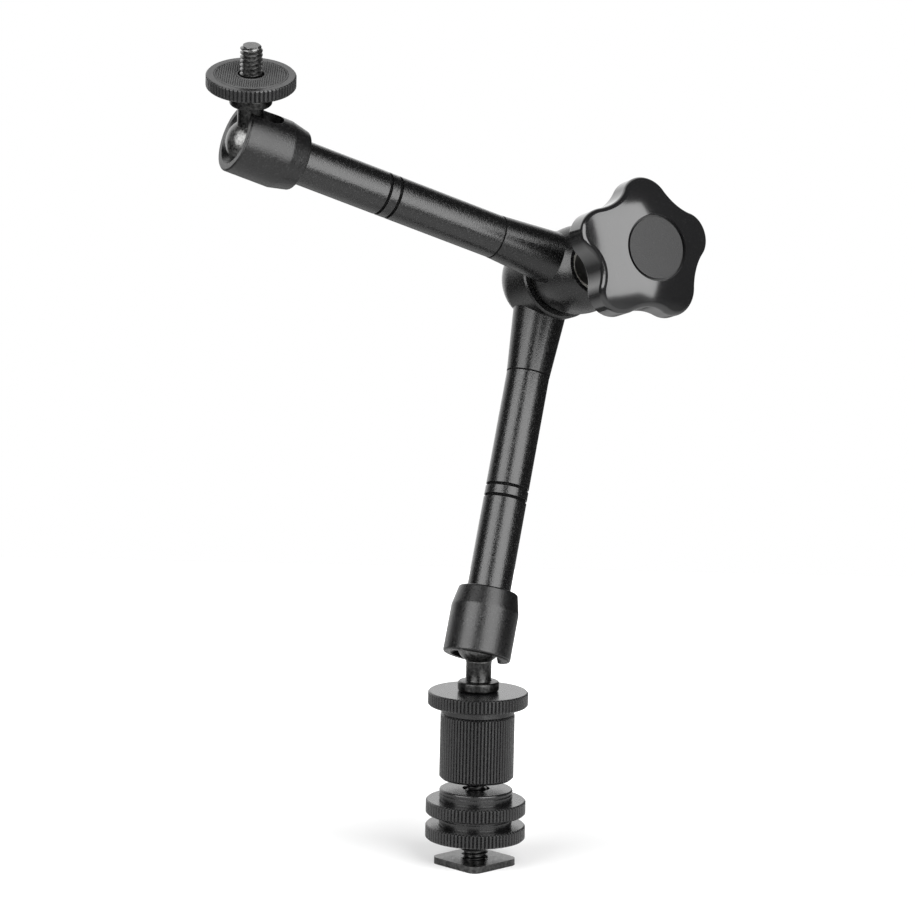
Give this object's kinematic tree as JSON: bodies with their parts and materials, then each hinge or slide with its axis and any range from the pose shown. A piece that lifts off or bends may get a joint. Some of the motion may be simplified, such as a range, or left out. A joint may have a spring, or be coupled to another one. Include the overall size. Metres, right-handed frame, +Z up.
{
  "type": "articulating friction arm",
  "caption": "Two-section arm with slotted ball sockets, a central knob that locks every joint, a shoe foot and a camera stud.",
  "frame": {"origin": "centre of the shoe foot's underside", "axes": "+Z up along the foot's post, out of the shoe; -Y towards the picture's camera; the foot's sides lie at 45 degrees to X and Y"},
  "size_m": [0.1435, 0.0934, 0.2424],
  "materials": {
    "plated_steel": "black plated steel, semi-gloss",
    "knurled_black": "black anodised, knurled rim, turned faces",
    "pad_rubber": "black rubber with a fine grid",
    "stud_steel": "blackened steel, ball worn bright",
    "anodised_black": "bead-blasted black anodised",
    "washer_plastic": "plain nylon",
    "rod_steel": "ground steel",
    "spring_steel": "drawn wire",
    "seat_brass": "turned brass",
    "knob_plastic": "moulded, glossy",
    "insert_steel": "blackened turned steel"
  },
  "bodies": {
    "foot": {"foot_plate": "plated_steel", "foot_post": "plated_steel"},
    "lower_nut": {"lower_shoe_nut": "knurled_black"},
    "upper_nut": {"upper_shoe_nut": "knurled_black"},
    "sleeve": {"knurled_sleeve": "knurled_black"},
    "lower_stud": {"lower_ball_stud": "stud_steel"},
    "lock_disc": {"stud_lock_disc": "knurled_black"},
    "lower_seat": {"lower_ball_seat": "seat_brass"},
    "lower_arm": {"lower_socket_cap": "anodised_black", "lower_tube": "anodised_black", "rear_knuckle": "anodised_black", "friction_washer": "washer_plastic"},
    "lower_rod": {"lower_push_rod": "rod_steel"},
    "bolt": {"locking_bolt": "rod_steel", "release_spring": "spring_steel"},
    "upper_arm": {"front_knuckle": "anodised_black", "upper_tube": "anodised_black", "upper_socket_cap": "anodised_black"},
    "wedge": {"wedge_bush": "seat_brass", "thrust_washer": "washer_plastic"},
    "upper_rod": {"upper_push_rod": "rod_steel", "upper_ball_seat": "seat_brass"},
    "knob": {"knob": "knob_plastic", "knob_insert": "insert_steel", "knob_cap": "knob_plastic"},
    "upper_stud": {"upper_ball_stud": "stud_steel"},
    "camera_disc": {"camera_disc": "knurled_black", "camera_pad": "pad_rubber"}
  },
  "joints": [
    {"name": "lower_nut_travel", "type": "slide", "parent": "foot", "child": "lower_nut", "axis": [0, 0, 1], "range_m": [-0.0055, 0]},
    {"name": "upper_nut_travel", "type": "slide", "parent": "foot", "child": "upper_nut", "axis": [0, 0, 1], "range_m": [0, 0.003]},
    {"name": "sleeve_turn", "type": "hinge", "parent": "foot", "child": "sleeve", "pos_m": [0, 0, 0.0261], "axis": [0, 0, 1], "continuous": true},
    {"name": "lower_ball_swivel", "type": "hinge", "parent": "sleeve", "child": "lower_stud", "pos_m": [0, 0, 0.0675], "axis": [0, 0, 1], "continuous": true},
    {"name": "lock_disc_turn", "type": "hinge", "parent": "lower_stud", "child": "lock_disc", "pos_m": [0, 0, 0.046], "axis": [0, 0, 1], "continuous": true},
    {"name": "lower_ball_tilt", "type": "hinge", "parent": "lower_stud", "child": "lower_seat", "pos_m": [0, 0, 0.0675], "axis": [-0.9114, 0.4115, 0], "range_deg": [-50.6, 72]},
    {"name": "lower_arm_roll", "type": "hinge", "parent": "lower_seat", "child": "lower_arm", "pos_m": [0, 0, 0.0675], "axis": [0.1581, 0.3502, 0.9232], "range_deg": [-360, 0]},
    {"name": "elbow_turn", "type": "hinge", "parent": "lower_arm", "child": "upper_arm", "pos_m": [0.01771, 0.03923, 0.1709], "axis": [0.4822, -0.8433, 0.2373], "range_deg": [-180, 180]},
    {"name": "knob_turn", "type": "hinge", "parent": "wedge", "child": "knob", "pos_m": [0.02755, 0.02202, 0.17574], "axis": [0.4822, -0.8433, 0.2373], "range_deg": [0, 360.36]},
    {"name": "bolt_release", "type": "slide", "parent": "lower_arm", "child": "bolt", "axis": [-0.4822, 0.8433, -0.2373], "range_m": [0, 0.0005005]},
    {"name": "wedge_release", "type": "slide", "parent": "upper_arm", "child": "wedge", "axis": [0.4822, -0.8433, 0.2373], "range_m": [0, 0.0005]},
    {"name": "lower_rod_release", "type": "slide", "parent": "lower_arm", "child": "lower_rod", "axis": [0.1581, 0.3502, 0.9232], "range_m": [0, 0.0005005]},
    {"name": "upper_rod_release", "type": "slide", "parent": "upper_arm", "child": "upper_rod", "axis": [0.8546, 0.3933, -0.3391], "range_m": [0, 0.0005005]},
    {"name": "upper_ball_tilt", "type": "hinge", "parent": "upper_arm", "child": "upper_stud", "pos_m": [-0.06817, -0.02202, 0.21372], "axis": [-0.2819, 0.8998, 0.3331], "range_deg": [-92.2, 30.4]},
    {"name": "camera_disc_turn", "type": "hinge", "parent": "upper_stud", "child": "camera_disc", "pos_m": [-0.06817, -0.02202, 0.21372], "axis": [0.0209, -0.3414, 0.9397], "continuous": true}
  ],
  "couplings": [
    {"joint": "knob_turn", "follows": "wedge_release", "rad_per_m": 12566},
    {"joint": "bolt_release", "follows": "wedge_release", "ratio": 1},
    {"joint": "lower_rod_release", "follows": "wedge_release", "ratio": 1},
    {"joint": "upper_rod_release", "follows": "wedge_release", "ratio": 1}
  ]
}
